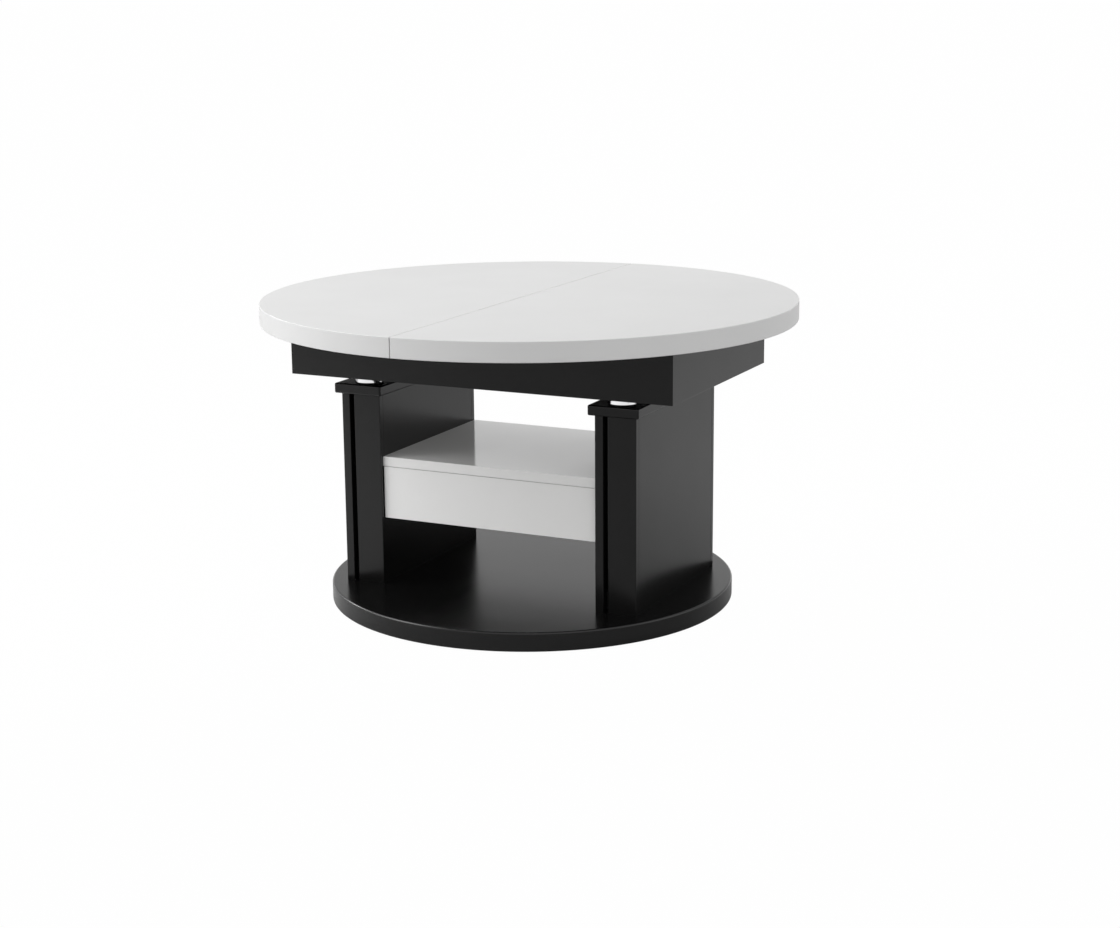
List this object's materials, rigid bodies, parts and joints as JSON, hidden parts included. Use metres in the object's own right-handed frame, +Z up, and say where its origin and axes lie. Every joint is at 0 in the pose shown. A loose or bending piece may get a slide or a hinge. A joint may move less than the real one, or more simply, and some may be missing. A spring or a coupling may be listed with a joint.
{
  "type": "convertible coffee dining table",
  "caption": "Round white coffee table on a black casing stand; the top lifts to dining height, its halves draw apart for stored leaves, and a drawer sits under the shelf.",
  "frame": {"origin": "centre of the base plate, on the floor under its glides, with the table at coffee height and closed", "axes": "+Z up, +X along the way the right half top draws out, -Y towards the side where the drawer opens"},
  "size_m": [1, 0.9998, 0.572],
  "materials": {
    "black_lacquer": "black satin gloss lacquer on board",
    "white_lacquer": "white satin lacquer on board",
    "gloss_white": "white high gloss lacquer on board",
    "drawer_board": "white melamine faced board",
    "chrome": "polished chrome plate",
    "zinc_steel": "bright zinc plate",
    "black_steel": "black powder coat",
    "nylon": "matt black nylon",
    "dowel_wood": "plain beech"
  },
  "bodies": {
    "base": {"base_plate": "black_lacquer", "base_glides": "nylon", "shelf_panel": "gloss_white", "back_panel": "gloss_white", "left_long_panel": "black_lacquer", "left_short_panel": "black_lacquer", "left_front_board": "black_lacquer", "left_rear_board": "black_lacquer", "left_cap": "black_lacquer", "left_guide_bushes": "chrome", "left_gas_cylinder": "black_steel", "left_drawer_rail": "zinc_steel", "right_long_panel": "black_lacquer", "right_short_panel": "black_lacquer", "right_front_board": "black_lacquer", "right_rear_board": "black_lacquer", "right_cap": "black_lacquer", "right_guide_bushes": "chrome", "right_gas_cylinder": "black_steel", "right_drawer_rail": "zinc_steel"},
    "top_frame": {"apron_front": "black_lacquer", "apron_rear": "black_lacquer", "apron_left": "black_lacquer", "apron_right": "black_lacquer", "frame_board": "black_lacquer", "slip_strips": "nylon", "lower_half_leaf": "white_lacquer", "upper_half_leaf": "white_lacquer", "left_lift_foot": "black_steel", "left_front_column": "chrome", "left_rear_column": "chrome", "left_column_flanges": "black_steel", "left_gas_rod": "chrome", "right_lift_foot": "black_steel", "right_front_column": "chrome", "right_rear_column": "chrome", "right_column_flanges": "black_steel", "right_gas_rod": "chrome", "front_slide_channels": "zinc_steel", "front_pinion_pin": "zinc_steel", "rear_slide_channels": "zinc_steel", "rear_pinion_pin": "zinc_steel"},
    "left_top": {"left_half_top": "white_lacquer", "seam_pins": "dowel_wood", "left_front_rack": "zinc_steel", "left_rear_rack": "zinc_steel", "left_brackets": "zinc_steel"},
    "right_top": {"right_half_top": "white_lacquer", "right_front_rack": "zinc_steel", "right_rear_rack": "zinc_steel", "right_brackets": "zinc_steel"},
    "front_pinion_body": {"front_pinion": "zinc_steel"},
    "rear_pinion_body": {"rear_pinion": "zinc_steel"},
    "drawer": {"drawer_front": "gloss_white", "drawer_left_side": "drawer_board", "drawer_right_side": "drawer_board", "drawer_back": "drawer_board", "drawer_bottom": "drawer_board", "left_drawer_runner": "zinc_steel", "right_drawer_runner": "zinc_steel"}
  },
  "joints": [
    {"name": "lift_slide", "type": "slide", "parent": "base", "child": "top_frame", "axis": [0, 0, 1], "range_m": [0, 0.19]},
    {"name": "right_top_slide", "type": "slide", "parent": "top_frame", "child": "right_top", "axis": [1, 0, 0], "range_m": [0, 0.19]},
    {"name": "left_top_slide", "type": "slide", "parent": "top_frame", "child": "left_top", "axis": [-1, 0, 0], "range_m": [0, 0.19]},
    {"name": "front_pinion_turn", "type": "hinge", "parent": "top_frame", "child": "front_pinion_body", "pos_m": [0, -0.1972, 0.5002], "axis": [0, 1, 0], "range_deg": [0, 777.6]},
    {"name": "rear_pinion_turn", "type": "hinge", "parent": "top_frame", "child": "rear_pinion_body", "pos_m": [0, 0.1972, 0.5002], "axis": [0, -1, 0], "range_deg": [0, 777.6]},
    {"name": "drawer_slide", "type": "slide", "parent": "base", "child": "drawer", "axis": [0, -1, 0], "range_m": [0, 0.22]}
  ],
  "couplings": [
    {"joint": "left_top_slide", "follows": "right_top_slide", "ratio": 1},
    {"joint": "front_pinion_turn", "follows": "right_top_slide", "rad_per_m": 71.429},
    {"joint": "rear_pinion_turn", "follows": "right_top_slide", "rad_per_m": 71.429}
  ]
}
